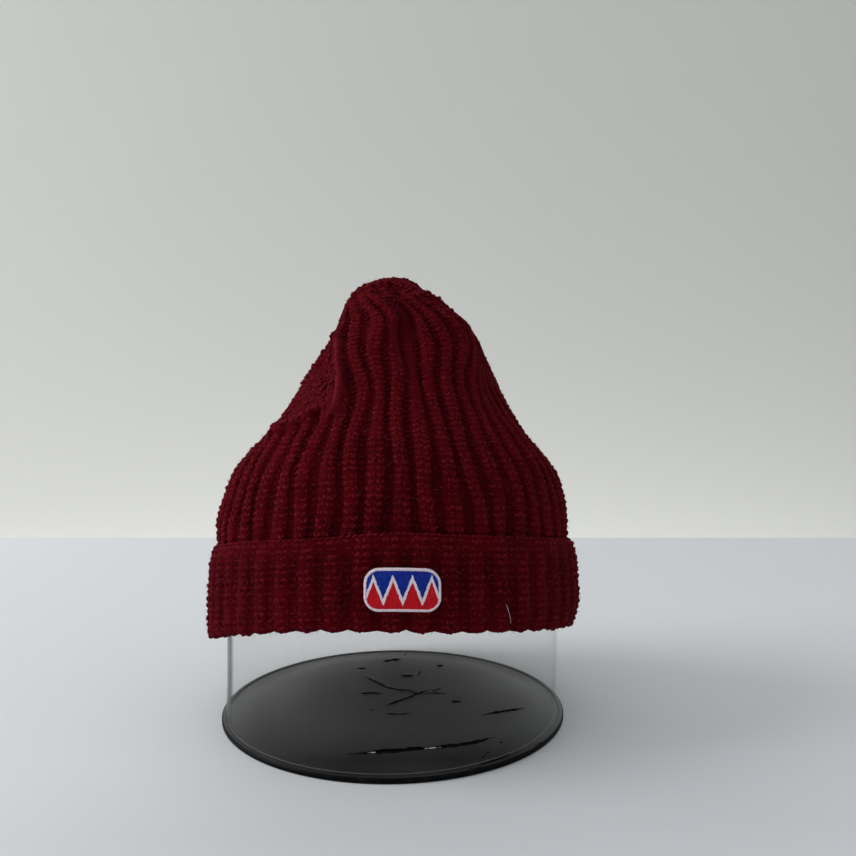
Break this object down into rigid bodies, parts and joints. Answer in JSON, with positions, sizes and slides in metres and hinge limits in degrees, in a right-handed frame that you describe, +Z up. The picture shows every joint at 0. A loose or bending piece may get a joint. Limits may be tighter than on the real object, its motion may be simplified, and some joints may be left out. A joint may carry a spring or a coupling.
{
  "type": "beanie on display stand",
  "caption": "Rib-knit beanie with a turned-up cuff and a small stitched patch, pulled over a clear tube on a round black base that holds it up for show.",
  "frame": {"origin": "centre of the base disc's underside", "axes": "+Z up along the stand's tube, the front of the hat with its patch looks along -Y, +X to the right of a viewer in front"},
  "size_m": [0.184, 0.1854, 0.2191],
  "materials": {
    "knit": "soft wool-like rib knit",
    "patch": "satin embroidery",
    "clear_sheet": "thin clear plastic sheet",
    "black_gloss": "glossy under a thin film"
  },
  "bodies": {
    "root": {"crown": "knit", "cuff": "knit", "patch": "patch", "stand_tube": "clear_sheet", "stand_base": "black_gloss"}
  },
  "joints": []
}
